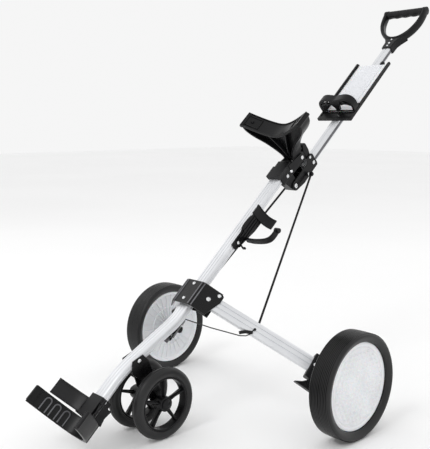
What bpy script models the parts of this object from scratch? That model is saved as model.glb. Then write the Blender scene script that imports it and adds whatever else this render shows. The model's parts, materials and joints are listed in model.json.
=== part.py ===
"""Folding golf push trolley: two big rear wheels on folding legs, twin front wheels and a folding handle.

Frame: metres, +Z up, -Y forwards, +X the trolley's left, origin on the ground under the middle of its box.
The sloping main tube carries its own frame: local X across, local Y up along the tube, local Z out of its
front face, where the bag lies. The handle and each leg have a frame of their own on their hinge's axis.
"""
import math

import bmesh
import bpy
from mathutils import Matrix, Vector

# ------------------------------------------------------------------ driving dimensions, metres
GAP = 0.0003                      # between pieces that touch
RUN = 0.0003                      # round a pin that turns
ROD_PLAY = 0.0011                 # round a tie rod's bent end, which also tilts
SHEET = 0.0022                    # pressed steel

AXLE_Y = -0.0573                  # main axle line, which centres the trolley's box on Y
TUBE_SLOPE = math.radians(42.0)
BRACKET_MID = Vector((0.0, -0.162, 0.306))   # middle of the leg bracket on the main tube, from the axle

TUBE_WIDTH, TUBE_DEPTH, TUBE_WALL = 0.032, 0.019, 0.0018
TUBE_TOP = 0.400                  # along the tube from the leg bracket
TUBE_BEND = (-0.095, 0.0)         # along the tube, out of its front
TUBE_KNEE = (-0.265, 0.0425)
TUBE_FOOT = (-0.360, 0.041)

BIG_RADIUS, BIG_HALF_WIDTH = 0.120, 0.0275
BIG_X = 0.324
SMALL_RADIUS, SMALL_HALF_WIDTH = 0.080, 0.013
SMALL_X, SMALL_AHEAD = 0.0445, 0.307

LEG_PIVOT = Vector((0.042, -0.020, -0.008))  # in the main tube's frame
LEG_AXLE_X = 0.279                # where the leg's line meets the wheel's axis
LEG_WIDTH, LEG_DEPTH = 0.034, 0.018
LEG_START, LEG_END = -0.006, 0.290
ROD_ON_LEG = 0.131                # along the leg from its pivot
ROD_RADIUS = 0.0028

HINGE_PIN = Vector((0.0, 0.388, -0.050))     # handle's hinge, in the main tube's frame
ROD_LUG = Vector((0.0235, 0.056, -0.012))    # rod's pin, in the handle's frame
HANDLE_WIDTH, HANDLE_DEPTH, HANDLE_WALL = 0.025, 0.0175, 0.0016
HANDLE_START, HANDLE_END = 0.068, 0.598
HANDLE_DROP = -0.002
GRIP_TILT = math.radians(13.0)

CRADLE_BOLT = Vector((0.0, 0.4485, -0.007))  # in the main tube's frame
PLATE_UP = 0.0195                 # front leg bracket's plate, out of the main tube's middle

BLACK = ("moulded_black", (0.020, 0.020, 0.022), 0.42, 0.0)
STEEL_BLACK = ("painted_steel", (0.016, 0.016, 0.018), 0.35, 0.3)
SILVER = ("silver_tube", (0.86, 0.87, 0.88), 0.35, 0.6)
ZINC = ("zinc_steel", (0.78, 0.79, 0.80), 0.28, 1.0)
TYRE = ("tyre_rubber", (0.016, 0.016, 0.017), 0.65, 0.0)
WHITE = ("white_plastic", (0.86, 0.87, 0.88), 0.45, 0.0)
RUBBER = ("grip_rubber", (0.028, 0.028, 0.030), 0.75, 0.0)
CARD = ("grey_card", (0.72, 0.73, 0.76), 0.55, 0.0)

for leftover in list(bpy.data.objects):
    bpy.data.objects.remove(leftover)
PARTS = bpy.data.collections.new("golf_push_trolley")
CUTTERS = bpy.data.collections.new("cutters")
bpy.context.scene.collection.children.link(PARTS)
bpy.context.scene.collection.children.link(CUTTERS)


# ------------------------------------------------------------------ helpers
def finish_of(spec):
    """The Principled material of a (name, colour, roughness, metallic) finish, made once."""
    name, colour, roughness, metallic = spec
    found = bpy.data.materials.get(name)
    if found:
        return found
    made = bpy.data.materials.new(name)
    made.use_nodes = True
    shader = made.node_tree.nodes["Principled BSDF"]
    shader.inputs["Base Color"].default_value = (*colour, 1.0)
    shader.inputs["Roughness"].default_value = roughness
    shader.inputs["Metallic"].default_value = metallic
    return made


def empty(name, parent=None, matrix=None):
    """An empty that carries a frame."""
    holder = bpy.data.objects.new(name, None)
    PARTS.objects.link(holder)
    holder.parent = parent
    holder.matrix_local = matrix or Matrix()
    bpy.context.view_layer.update()
    return holder


def piece(name, shape, finish, parent, at=(0, 0, 0), turn=None, collection=None):
    """An object from a bmesh, placed in its parent's frame."""
    mesh = bpy.data.meshes.new(name)
    bmesh.ops.recalc_face_normals(shape, faces=shape.faces)
    shape.to_mesh(mesh)
    shape.free()
    mesh.shade_smooth()
    mesh.set_sharp_from_angle(angle=math.radians(35))
    made = bpy.data.objects.new(name, mesh)
    (collection or PARTS).objects.link(made)
    made.parent = parent
    made.matrix_local = Matrix.Translation(at) @ (turn or Matrix())
    if finish:
        mesh.materials.append(finish_of(finish))
    bpy.context.view_layer.update()
    return made


def cutter(made):
    """Marks a piece as a tool that only cuts."""
    for home in list(made.users_collection):
        home.objects.unlink(made)
    CUTTERS.objects.link(made)
    made.hide_render = True
    made.display_type = "WIRE"
    return made


def boolean(target, tool, operation):
    modifier = target.modifiers.new(operation.lower() + "_" + tool.name, "BOOLEAN")
    modifier.operation = operation
    modifier.solver = "EXACT"
    modifier.object = tool


def join(target, *tools):
    for tool in tools:
        boolean(target, cutter(tool), "UNION")


def cut(target, *tools):
    for tool in tools:
        boolean(target, cutter(tool), "DIFFERENCE")


def bevelled(made, width, segments=2):
    modifier = made.modifiers.new("edges", "BEVEL")
    modifier.width = width
    modifier.segments = segments
    modifier.limit_method = "ANGLE"
    modifier.angle_limit = math.radians(40)
    return made


def box_shape(low, high):
    """A box between two corners."""
    shape = bmesh.new()
    middle = (Vector(low) + Vector(high)) / 2
    size = Vector(high) - Vector(low)
    bmesh.ops.create_cube(shape, size=1.0, matrix=Matrix.Translation(middle) @ Matrix.Diagonal((*size, 1.0)))
    return shape


def block(name, low, high, finish, parent, edge=0.0):
    made = piece(name, box_shape(low, high), finish, parent)
    return bevelled(made, edge) if edge else made


def along(axis):
    """The turn that takes local Z to an axis."""
    return Vector((0, 0, 1)).rotation_difference(Vector(axis).normalized()).to_matrix().to_4x4()


def round_bar(name, start, end, radius, finish, parent, sides=16):
    """A plain cylinder between two points."""
    start, end = Vector(start), Vector(end)
    shape = bmesh.new()
    bmesh.ops.create_cone(shape, cap_ends=True, segments=sides, radius1=radius, radius2=radius,
                          depth=(end - start).length)
    return piece(name, shape, finish, parent, (start + end) / 2, along(end - start))


def turned(name, profile, finish, parent, at=(0, 0, 0), axis=(0, 0, 1), steps=24):
    """A closed outline of (radius, height) turned about its axis with a Screw modifier."""
    shape = bmesh.new()
    corners = [shape.verts.new((radius, 0.0, height)) for radius, height in profile]
    on_axis = profile[0][0] == 0 and profile[-1][0] == 0
    for i in range(len(corners) - (1 if on_axis else 0)):
        shape.edges.new((corners[i], corners[(i + 1) % len(corners)]))
    made = piece(name, shape, finish, parent, at, along(axis))
    screw = made.modifiers.new("turn", "SCREW")
    screw.steps = steps
    screw.render_steps = steps
    screw.use_merge_vertices = True
    screw.merge_threshold = 0.00001
    screw.use_smooth_shade = True
    turns = zip(profile, profile[1:] + profile[:1])
    screw.use_normal_flip = sum(r0 * h1 - r1 * h0 for (r0, h0), (r1, h1) in turns) > 0
    return made


def arc(centre, radius, start, end, steps):
    """Points of an arc from one angle to another, in degrees."""
    angles = [math.radians(start + (end - start) * i / steps) for i in range(steps + 1)]
    return [(centre[0] + radius * math.cos(a), centre[1] + radius * math.sin(a)) for a in angles]


def rounded_rectangle(width, depth, radius, steps=3):
    """Outline of a rectangle with round corners, centred on nought."""
    x, y = width / 2 - radius, depth / 2 - radius
    return (arc((x, y), radius, 0, 90, steps) + arc((-x, y), radius, 90, 180, steps)
            + arc((-x, -y), radius, 180, 270, steps) + arc((x, -y), radius, 270, 360, steps))


def filleted(points, radii, steps=6):
    """A path of straight runs whose inner corners are rounded to the radii."""
    path = [Vector(points[0])]
    for before, corner, after, radius in zip(points, points[1:], points[2:], radii):
        before, corner, after = Vector(before), Vector(corner), Vector(after)
        into, out = (before - corner).normalized(), (after - corner).normalized()
        half = into.angle(out) / 2
        reach = radius / math.tan(half)
        first, last = corner + into * reach, corner + out * reach
        for i in range(steps + 1):
            t = i / steps
            path.append((1 - t) ** 2 * first + 2 * t * (1 - t) * corner + t * t * last)
    path.append(Vector(points[-1]))
    return path


def swept_tube(name, path, section, wall, finish, parent):
    """A hollow tube, open at both ends, along a path in the local YZ plane."""
    shape = bmesh.new()
    rings = []
    for i, point in enumerate(path):
        ahead = path[min(i + 1, len(path) - 1)] - path[max(i - 1, 0)]
        out = Vector((-ahead[1], ahead[0])).normalized()
        rings.append([shape.verts.new((x, point[0] + out[0] * h, point[1] + out[1] * h)) for x, h in section])
    count = len(section)
    for near, far in zip(rings, rings[1:]):
        for i in range(count):
            j = (i + 1) % count
            shape.faces.new((near[i], near[j], far[j], far[i]))
    made = piece(name, shape, finish, parent)
    shell = made.modifiers.new("wall", "SOLIDIFY")
    shell.thickness = wall
    shell.offset = -1.0
    return made


def prism(name, outline, low, high, finish, parent, at=(0, 0, 0), turn=None):
    """A flat outline in local XY, extruded between two heights."""
    shape = bmesh.new()
    face = shape.faces.new([shape.verts.new((x, y, low)) for x, y in outline])
    grown = bmesh.ops.extrude_face_region(shape, geom=[face])
    top = [item for item in grown["geom"] if isinstance(item, bmesh.types.BMVert)]
    bmesh.ops.translate(shape, verts=top, vec=(0, 0, high - low))
    return piece(name, shape, finish, parent, at, turn)


def band_outline(points, thickness, closed=False):
    """The outline of a strip of even thickness whose middle line runs through the points."""
    points = [Vector(p) for p in points]
    left, right = [], []
    last = len(points) - 1
    for i, point in enumerate(points):
        before = (point - points[i - 1]).normalized() if i else (points[1] - point).normalized()
        after = (points[i + 1] - point).normalized() if i < last else before
        mean = (before + after).normalized()
        side = Vector((-mean[1], mean[0])) * (thickness / 2 / max(0.4, mean.dot(before)))
        left.append(point + side)
        right.append(point - side)
    return [tuple(p) for p in left + right[::-1]]


ACROSS = Matrix.Rotation(math.radians(90), 4, "X")        # outline XY becomes X and Z; heights run to -Y
SIDEWAYS = Matrix(((0, 0, 1, 0), (1, 0, 0, 0), (0, 1, 0, 0), (0, 0, 0, 1)))   # outline XY becomes Y and Z


def drill(name, parent, start, end, radius, pieces, sides=14):
    """A running-fit hole through each of the pieces."""
    beyond = (Vector(end) - Vector(start)) * 0.2
    for holed in pieces:
        cut(holed, round_bar(f"{name}_{holed.name}_drill", Vector(start) - beyond, Vector(end) + beyond,
                             radius + RUN, None, parent, sides))


def fastener(name, parent, start, end, radius, head, pieces, finish=ZINC, head_height=0.0026, sides=14):
    """A bolt or rivet with a domed head at its start and a nut at its end; it drills its pieces."""
    start, end = Vector(start), Vector(end)
    length = (end - start).length
    profile = [(0.0, -head_height), (head * 0.6, -head_height * 0.8), (head, -head_height * 0.15), (head, 0.0),
               (radius, 0.0), (radius, length), (head * 0.85, length), (head * 0.85, length + head_height),
               (0.0, length + head_height)]
    made = turned(name, profile, finish, parent, start, end - start, sides)
    drill(name, parent, start, end, radius, pieces, sides)
    return made


def mirrored(source, name, parent):
    """The same piece for the other side, as a mesh of its own in its parent's frame."""
    bpy.context.view_layer.update()
    ready = source.evaluated_get(bpy.context.evaluated_depsgraph_get())
    mesh = bpy.data.meshes.new_from_object(ready)
    mesh.name = name
    flip = Matrix.Diagonal((-1, 1, 1, 1))
    mesh.transform(parent.matrix_world.inverted() @ flip @ source.matrix_world)
    mesh.flip_normals()
    made = bpy.data.objects.new(name, mesh)
    PARTS.objects.link(made)
    made.parent = parent
    return made


# ------------------------------------------------------------------ frames
TROLLEY = empty("trolley", matrix=Matrix.Translation((0, AXLE_Y, 0)))
TUBE = empty("tube_frame", TROLLEY, Matrix.Translation(BRACKET_MID) @ Matrix.Rotation(TUBE_SLOPE, 4, "X"))
HANDLE = empty("handle_hinge", TUBE, Matrix.Translation(HINGE_PIN))


def leg_matrix(side):
    """The leg's frame: X along the leg, Y nearly up the main tube, Z along its pivot pin."""
    to_trolley = TROLLEY.matrix_world.inverted() @ TUBE.matrix_world
    pivot = to_trolley @ Vector((side * LEG_PIVOT.x, LEG_PIVOT.y, LEG_PIVOT.z))
    leg = (Vector((side * LEG_AXLE_X, 0, BIG_RADIUS)) - pivot).normalized()
    up_tube = to_trolley.to_3x3() @ Vector((0, 1, 0))
    pin = leg.cross(up_tube).normalized()
    wide = pin.cross(leg)
    turn = Matrix((leg, wide, pin)).transposed().to_4x4()
    return Matrix.Translation(pivot) @ turn


LEG_LEFT = empty("leg_left_frame", TROLLEY, leg_matrix(1))
LEG_RIGHT = empty("leg_right_frame", TROLLEY, leg_matrix(-1))
WHEEL_LEFT = empty("wheel_left_frame", TROLLEY, Matrix.Translation((BIG_X, 0, BIG_RADIUS)))
WHEEL_RIGHT = empty("wheel_right_frame", TROLLEY, Matrix.Translation((-BIG_X, 0, BIG_RADIUS)))
FRONT = empty("front_axle_frame", TROLLEY, Matrix.Translation((0, -SMALL_AHEAD, SMALL_RADIUS)))
LEG_LENGTH = (LEG_LEFT.matrix_world.inverted() @ TROLLEY.matrix_world @ Vector((LEG_AXLE_X, 0, BIG_RADIUS))).x


# ------------------------------------------------------------------ main tube and its fittings
def tube_path():
    points = [(TUBE_TOP, 0.0), TUBE_BEND, TUBE_KNEE, TUBE_FOOT]
    return filleted(points, (0.16, 0.26))


def tube_hole(name, low, high, grow=GAP):
    """A bar a little bigger than the straight part of the main tube, to cut a collar with."""
    outline = rounded_rectangle(TUBE_WIDTH + 2 * grow, TUBE_DEPTH + 2 * grow, 0.004 + grow)
    return prism(name, outline, -high, -low, None, TUBE, turn=ACROSS)


def main_tube():
    section = rounded_rectangle(TUBE_WIDTH, TUBE_DEPTH, 0.004)
    return swept_tube("main_tube", tube_path(), section, TUBE_WALL, SILVER, TUBE)


def top_collar():
    """Moulded collar on the tube's top, with a lug below for the handle's hinge and two ears for the cradle."""
    collar = block("top_collar", (-0.0195, 0.354, -0.0150), (0.0195, 0.4080, 0.0175), BLACK, TUBE, 0.0020)
    skirt = prism("collar_skirt", [(-0.0195, 0.0080), (0.0195, 0.0080), (0.0215, 0.0190), (-0.0215, 0.0190)],
                  -0.386, -0.350, BLACK, TUBE, turn=ACROSS)
    lug = prism("collar_lug", [(0.363, -0.012)] + arc((HINGE_PIN.y, HINGE_PIN.z), 0.0125, 205, 350, 8)
                + [(0.402, -0.012)], -0.0118, 0.0118, BLACK, TUBE, turn=SIDEWAYS)
    join(collar, skirt, lug)
    for side in (-1, 1):
        outline = ([(0.396, -0.0145), (0.396, 0.0140)]
                   + arc((CRADLE_BOLT.y, CRADLE_BOLT.z), 0.0110, 90, -90, 8))
        low, high = sorted((side * 0.0170, side * 0.0205))
        join(collar, prism(f"collar_ear_{side + 1}", outline, low, high, BLACK, TUBE, turn=SIDEWAYS))
    cut(collar, tube_hole("collar_bore", 0.30, TUBE_TOP + GAP))
    cut(collar, block("collar_window", (-0.0168, TUBE_TOP + 0.004, -0.0090), (0.0168, 0.42, 0.0120), None, TUBE))
    return collar


def saddle_points(half, low, rise, flat, steps=6):
    """Half-round cradle line: flat in the middle and rising towards both ends, as (across, out) points."""
    points = []
    for i in range(-steps, steps + 1):
        x = half * i / steps
        out = max(0.0, (abs(x) - flat) / (half - flat))
        points.append((x, low + rise * out ** 1.8))
    return points


def upper_cradle():
    """Bag cradle: a saddle on a hollow-fronted funnel whose foot stands between the collar's ears."""
    top = saddle_points(0.100, 0.092, 0.034, 0.010)
    saddle = prism("bag_cradle", band_outline(top, 0.0055), -0.469, -0.423, BLACK, TUBE, turn=ACROSS)
    side = [(0.0150, 0.012), (0.0280, 0.036), (0.0520, 0.062), (0.0760, 0.082), (0.0930, 0.103)]
    rim = [p for p in top if abs(p[0]) < 0.092]
    outline = [(-x, n) for x, n in side] + rim + [(x, n) for x, n in side[::-1]]
    funnel = prism("cradle_funnel", outline, -0.4600, -0.4320, BLACK, TUBE, turn=ACROSS)
    foot = prism("cradle_foot", [(0.440, 0.030)] + [(0.4375, -0.007)]
                 + arc((CRADLE_BOLT.y, CRADLE_BOLT.z), 0.0110, 180, 360, 8) + [(0.4590, 0.030)],
                 -0.0165, 0.0165, BLACK, TUBE, turn=SIDEWAYS)
    join(saddle, funnel, foot)
    pocket = ([(-0.0120, 0.034), (-0.0230, 0.044), (-0.0500, 0.070), (-0.0600, 0.084)]
              + [(0.0600, 0.084), (0.0500, 0.070), (0.0230, 0.044), (0.0120, 0.034)])
    cut(saddle, prism("cradle_pocket", pocket, -0.4400, -0.4250, None, TUBE, turn=ACROSS))
    return saddle


def leg_bracket(front):
    """One half of the clamp that holds both legs: the front one is a raised plate, each has a wing over each leg."""
    pin = LEG_LEFT.matrix_world.to_3x3() @ Vector((0, 0, 1))
    pin = (TUBE.matrix_world.to_3x3().inverted() @ pin).normalized()
    across, out = pin.x, pin.z
    lean = Vector((out, -across))
    reach = LEG_DEPTH / 2 + GAP + SHEET / 2
    side = 1 if front else -1
    face = Vector((LEG_PIVOT.x, LEG_PIVOT.z)) + Vector((across, out)) * reach * side
    height = PLATE_UP if front else -(TUBE_DEPTH / 2 + GAP + SHEET / 2)
    if front:
        corner = face + lean * ((0.0320 - face.x) / lean.x)
        right = [face + lean * 0.030, corner, Vector((0.0240, height))]
    else:
        right = [face + lean * 0.020, face + lean * ((height - face.y) / lean.y)]
    points = [(-p.x, p.y) for p in right] + [(p.x, p.y) for p in right[::-1]]
    name = "leg_bracket_front" if front else "leg_bracket_rear"
    low, high = (-0.0560, 0.0090) if front else (-0.0520, 0.0060)
    made = prism(name, band_outline(points, SHEET), -high, -low, STEEL_BLACK, TUBE, turn=ACROSS)
    if front:
        join(made, block("bracket_block", (-0.0200, -0.0515, TUBE_DEPTH / 2 + GAP), (0.0200, 0.0055, height + 0.0002),
                         STEEL_BLACK, TUBE))
        for x in (-0.0215, 0.0215):
            join(made, round_bar(f"bracket_rib_{x:.4f}", (x, low + 0.0007, height + 0.0005),
                                 (x, high - 0.0007, height + 0.0005), 0.0016, None, TUBE, 10))
        for side, leg in ((1, LEG_LEFT), (-1, LEG_RIGHT)):
            beyond = arc((0.0235, 0.0210), 0.0045, 90, 0, 4) + [(0.0275, 0.0070), (0.0085, -0.0420), (0.080, -0.060),
                                                                (0.080, 0.060), (0.0235, 0.060)]
            near, far = sorted((side * 0.0060, side * 0.0200))
            cut(made, prism(f"wing_trim_{side + 1}", beyond, near, far, None, leg))
    return made


def lower_cradle():
    """Bag base: a deep saddle with a socket on the tube's foot."""
    line = saddle_points(0.098, 0.027, 0.098, 0.012, 8)
    made = prism("base_cradle", band_outline(line, 0.0055), 0.386, 0.426, BLACK, TUBE, turn=ACROSS)
    floor = block("base_floor", (-0.028, -0.425, 0.0235), (0.028, -0.352, 0.0290), BLACK, TUBE)
    socket = block("base_socket", (-0.0195, -0.384, 0.0240), (0.0195, -0.333, 0.0540), BLACK, TUBE, 0.0020)
    join(made, floor, socket)
    outline = rounded_rectangle(TUBE_WIDTH + 2 * GAP, TUBE_DEPTH + 2 * GAP + 0.001, 0.0043)
    bore = prism("base_bore", outline, 0.30, 0.3605, None, TUBE, (0, 0, TUBE_FOOT[1]), ACROSS)
    cut(made, bore)
    return made


def base_pad(side):
    """Short upper arm of the bag base, rooted in the socket's side."""
    line = [(side * 0.0180, 0.040), (side * 0.0240, 0.048), (side * 0.0400, 0.058), (side * 0.0860, 0.096)]
    return prism(f"base_pad_{side + 1}", band_outline(line, 0.0040), 0.345, 0.382, BLACK, TUBE, turn=ACROSS)


def front_fork():
    """Two cheeks either side of the main tube, joined by a web, that hold the front axle."""
    cheeks = []
    for side in (-1, 1):
        outline = (arc((0, 0), 0.0135, 190, 350, 8)
                   + [(0.0130, 0.0200), (-0.0090, 0.0700), (-0.0190, 0.0960), (-0.0330, 0.1110), (-0.0610, 0.1010),
                      (-0.0620, 0.0720), (-0.0300, 0.0480)])
        low, high = sorted((side * 0.0168, side * 0.0192))
        cheeks.append(prism(f"fork_cheek_{side + 1}", outline, low, high, STEEL_BLACK, FRONT, turn=SIDEWAYS))
    made = cheeks[0]
    made.name = "front_fork"
    web = block("fork_web", (-0.0175, -0.0460, 0.0630), (0.0175, -0.0180, 0.0680), STEEL_BLACK, FRONT)
    join(made, cheeks[1], web)
    return made


def cup_holder():
    """Bottle holder on the tube's left side: a finned plate with a curved rest above."""
    outline = [(0.130, 0.0120), (0.130, -0.0060), (0.150, -0.0125), (0.166, -0.0155), (0.204, -0.0225), (0.2575, -0.0250),
               (0.2575, 0.0185), (0.2320, 0.0125), (0.2130, 0.0180), (0.1870, 0.0190), (0.1730, 0.0120)]
    plate = bevelled(prism("cup_holder_base", outline, TUBE_WIDTH / 2 + GAP, 0.0215, BLACK, TUBE, turn=SIDEWAYS),
                     0.0010, 1)
    rest = [(0.0190, 0.0170), (0.0200, 0.0), (0.0250, -0.0200), (0.0340, -0.0320), (0.0460, -0.0390)]
    join(plate, prism("cup_rest", band_outline(rest, 0.0050), -0.2570, -0.2290, BLACK, TUBE, turn=ACROSS))
    return plate


def cup_arm():
    """Arm under the bottle: out from the strip, then turned up to a knob."""
    line = [(0.0222, 0.1690), (0.0450, 0.1680), (0.0850, 0.1750), (0.0940, 0.1840), (0.0950, 0.2120)]
    made = prism("cup_holder_arm", band_outline(line, 0.0050), -0.0200, -0.0060, BLACK, TUBE)
    knob = round_bar("cup_knob", (0.0890, 0.2090, -0.0130), (0.1010, 0.2090, -0.0130), 0.0060, BLACK, TUBE, 12)
    join(made, knob)
    return made


MAIN = main_tube()
COLLAR = top_collar()
CRADLE = upper_cradle()
fastener("collar_bolt", TUBE, (0.0198, 0.3780, -0.0050), (-0.0198, 0.3780, -0.0050), 0.0022, 0.0046, [COLLAR, MAIN])
fastener("cradle_bolt", TUBE, (0.0208, CRADLE_BOLT.y, CRADLE_BOLT.z), (-0.0208, CRADLE_BOLT.y, CRADLE_BOLT.z),
         0.0026, 0.0050, [COLLAR, CRADLE])

BRACKET_FRONT = leg_bracket(True)
BRACKET_REAR = leg_bracket(False)
for label, s in (("upper", 0.0), ("lower", -0.0430)):
    under = -(TUBE_DEPTH / 2 + 2 * GAP + SHEET)
    fastener(f"bracket_bolt_{label}", TUBE, (0, s, PLATE_UP + SHEET / 2 + GAP), (0, s, under), 0.0020, 0.0042,
             [BRACKET_FRONT, MAIN, BRACKET_REAR])

BASE = lower_cradle()
join(BASE, base_pad(1), base_pad(-1))
fastener("base_bolt", TUBE, (0.0198, -0.3390, 0.0420), (-0.0198, -0.3390, 0.0420), 0.0022, 0.0046, [BASE, MAIN])

FORK = front_fork()
tube_at_fork = (-0.0437, 0.0994)
fastener("fork_bolt", FRONT, (0.0196, *tube_at_fork), (-0.0196, *tube_at_fork), 0.0025, 0.0048, [FORK, MAIN])
AXLE_REACH = SMALL_X + SMALL_HALF_WIDTH + GAP
fastener("front_axle", FRONT, (AXLE_REACH, 0, 0), (-AXLE_REACH, 0, 0), 0.0040, 0.0120, [FORK], BLACK, 0.0070, 18)

HOLDER = cup_holder()
ARM = cup_arm()
fastener("cup_holder_screw", TUBE, (0.0222, 0.1460, 0.0020), (-0.0168, 0.1460, 0.0020), 0.0018, 0.0040,
         [HOLDER, MAIN])


# ------------------------------------------------------------------ handle
def hinge_channel():
    """Steel channel that turns on the hinge pin and holds the handle tube."""
    half = HANDLE_WIDTH / 2 + GAP
    outer = half + SHEET
    outline = (arc((0, 0), 0.0125, 90, 250, 8) + [(0.0300, -0.0190), (0.0980, -0.0175), (0.1010, -0.0120)]
               + [(0.1010, 0.0180), (0.0960, 0.0230), (0.0760, 0.0230), (0.0700, 0.0110)])
    made = prism("hinge_channel", outline, half, outer, STEEL_BLACK, HANDLE, turn=SIDEWAYS)
    other = prism("channel_cheek", outline, -outer, -half, STEEL_BLACK, HANDLE, turn=SIDEWAYS)
    web = block("channel_web", (-outer + 0.0004, 0.0320, -0.0180), (outer - 0.0004, 0.0990, -0.0158),
                STEEL_BLACK, HANDLE)
    join(made, other, web)
    return made


def handle_tube():
    section = rounded_rectangle(HANDLE_WIDTH, HANDLE_DEPTH, 0.0035)
    path = [Vector((HANDLE_START, HANDLE_DROP)), Vector((HANDLE_END, HANDLE_DROP))]
    return swept_tube("handle_tube", path, section, HANDLE_WALL, SILVER, HANDLE)


GRIP = empty("grip_frame", HANDLE, Matrix.Translation((0, 0.588, HANDLE_DROP))
             @ Matrix.Rotation(GRIP_TILT, 4, "X"))
GRIP_BAR_UP = 0.1080
GRIP_HALF = 0.0640


def handle_frame():
    """D-shaped handle: a bow on a neck that sleeves the tube."""
    side = [(0.0, 0.0080), (0.0200, 0.0160), (0.0420, 0.0400), (0.0570, 0.0640), (GRIP_HALF - 0.0010, 0.0860),
            (GRIP_HALF, GRIP_BAR_UP + 0.0125)]
    line = [(-x, y) for x, y in side[:0:-1]] + side
    made = prism("handle_frame", band_outline(line, 0.0120), -0.0125, 0.0125, BLACK, GRIP)
    neck = block("handle_neck", (-0.0158, 0.5500, HANDLE_DROP - 0.0118), (0.0158, 0.6040, HANDLE_DROP + 0.0118),
                 BLACK, HANDLE, 0.0030)
    join(made, neck)
    outline = rounded_rectangle(HANDLE_WIDTH + 2 * GAP, HANDLE_DEPTH + 2 * GAP, 0.0038)
    cut(made, prism("neck_bore", outline, -HANDLE_END - GAP, -0.52, None, HANDLE, (0, 0, HANDLE_DROP), ACROSS))
    return made


def grip_sleeve():
    """Rubber sleeve with four finger hollows."""
    half = GRIP_HALF - 0.0080
    outer = []
    for i in range(25):
        along_grip = -half + 2 * half * i / 24
        outer.append((0.0108 + 0.0009 * math.cos(math.pi * 8 * i / 24), along_grip))
    profile = outer[::-1] + [(0.0066, -half), (0.0066, half)]
    return turned("grip_sleeve", profile, RUBBER, GRIP, (0, GRIP_BAR_UP, 0), (1, 0, 0), 20)


CHANNEL = hinge_channel()
HANDLE_TUBE = handle_tube()
FRAME = handle_frame()
grip_sleeve()
fastener("grip_bar", GRIP, (GRIP_HALF + 0.0062, GRIP_BAR_UP, 0), (-GRIP_HALF - 0.0062, GRIP_BAR_UP, 0), 0.0062,
         0.0085, [FRAME], BLACK, 0.0020)
fastener("hinge_pin", HANDLE, (0.0156, 0, 0), (-0.0156, 0, 0), 0.0035, 0.0060, [COLLAR, CHANNEL], head_height=0.0022)
fastener("channel_bolt", HANDLE, (0.0156, 0.0900, -0.0030), (-0.0156, 0.0900, -0.0030), 0.0026, 0.0050,
         [CHANNEL, HANDLE_TUBE])
fastener("neck_rivet", HANDLE, (0, 0.5720, HANDLE_DROP + 0.0122), (0, 0.5720, HANDLE_DROP - 0.0122), 0.0018, 0.0036,
         [FRAME, HANDLE_TUBE], head_height=0.0016, sides=12)


def latch_lever():
    """Thumb lever that locks the channel up against the cradle's foot."""
    outline = (arc((0.0880, 0.0185), 0.0068, 180, 360, 6) + [(0.1000, 0.0340)]
               + arc((0.0935, 0.0520), 0.0075, 10, 150, 6) + [(0.0805, 0.0440)])
    made = prism("latch_lever", outline, -0.0120, 0.0120, BLACK, HANDLE, turn=SIDEWAYS)
    return bevelled(made, 0.0015)


LEVER = latch_lever()
fastener("latch_pin", HANDLE, (0.0156, 0.0880, 0.0170), (-0.0156, 0.0880, 0.0170), 0.0020, 0.0038,
         [CHANNEL, LEVER], head_height=0.0018)

# Scorecard panel: a black frame, a white board, the card and a hooded ball holder.
PANEL_LOW, PANEL_HIGH, PANEL_HALF = 0.239, 0.474, 0.056
BOARD_UP = HANDLE_DROP + HANDLE_DEPTH / 2 + 0.0012


def scorecard_frame():
    rail = 0.0055
    made = block("scorecard_frame", (-PANEL_HALF, PANEL_LOW, BOARD_UP), (PANEL_HALF, PANEL_LOW + 0.010, BOARD_UP + 0.008),
                 BLACK, HANDLE)
    for side in (-1, 1):
        low, high = sorted((side * PANEL_HALF, side * (PANEL_HALF - rail)))
        join(made, block(f"scorecard_rail_{side + 1}", (low, PANEL_LOW + 0.001, BOARD_UP + 0.0002),
                         (high, PANEL_HIGH, BOARD_UP + 0.0078), BLACK, HANDLE))
    return made


def ball_hood():
    """Arched hood over the panel's lower end, with a middle post between its two mouths."""
    base = BOARD_UP + 0.0083
    line = [(-0.0530, base), (-0.0540, base + 0.020)] + arc((-0.0340, base + 0.0210), 0.0190, 170, 90, 4)
    line += [(-p[0], p[1]) for p in line[::-1]]
    made = prism("ball_hood", band_outline(line, 0.0040), -0.300, -0.268, BLACK, HANDLE, turn=ACROSS)
    post = prism("hood_post", [(-0.0040, base + 0.0002), (0.0040, base + 0.0002), (0.0150, base + 0.0395),
                               (-0.0150, base + 0.0395)], -0.296, -0.270, BLACK, HANDLE, turn=ACROSS)
    floor = block("hood_floor", (-0.0540, 0.266, base), (0.0540, 0.300, base + 0.0025), BLACK, HANDLE)
    join(made, post, floor)
    return made


def panel_clamp(name, s):
    """Strap round the handle tube that carries the panel."""
    under = HANDLE_DROP - HANDLE_DEPTH / 2 - GAP - 0.0008
    side = HANDLE_WIDTH / 2 + GAP + 0.0008
    top = BOARD_UP - GAP - 0.0008
    line = [(-0.0440, top), (-side, top), (-side, under), (side, under), (side, top), (0.0440, top)]
    return prism(name, band_outline(line, 0.0015), -s - 0.010, -s + 0.010, BLACK, HANDLE, turn=ACROSS)


scorecard_frame()
block("scorecard_board", (-0.0502, PANEL_LOW + 0.0103, BOARD_UP + 0.0002), (0.0502, PANEL_HIGH - 0.004, BOARD_UP + 0.0022),
      WHITE, HANDLE)
block("scorecard", (-0.0330, 0.3060, BOARD_UP + 0.0025), (0.0330, 0.4680, BOARD_UP + 0.0033), CARD, HANDLE)
ball_hood()
panel_clamp("panel_clamp", 0.300)


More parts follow.
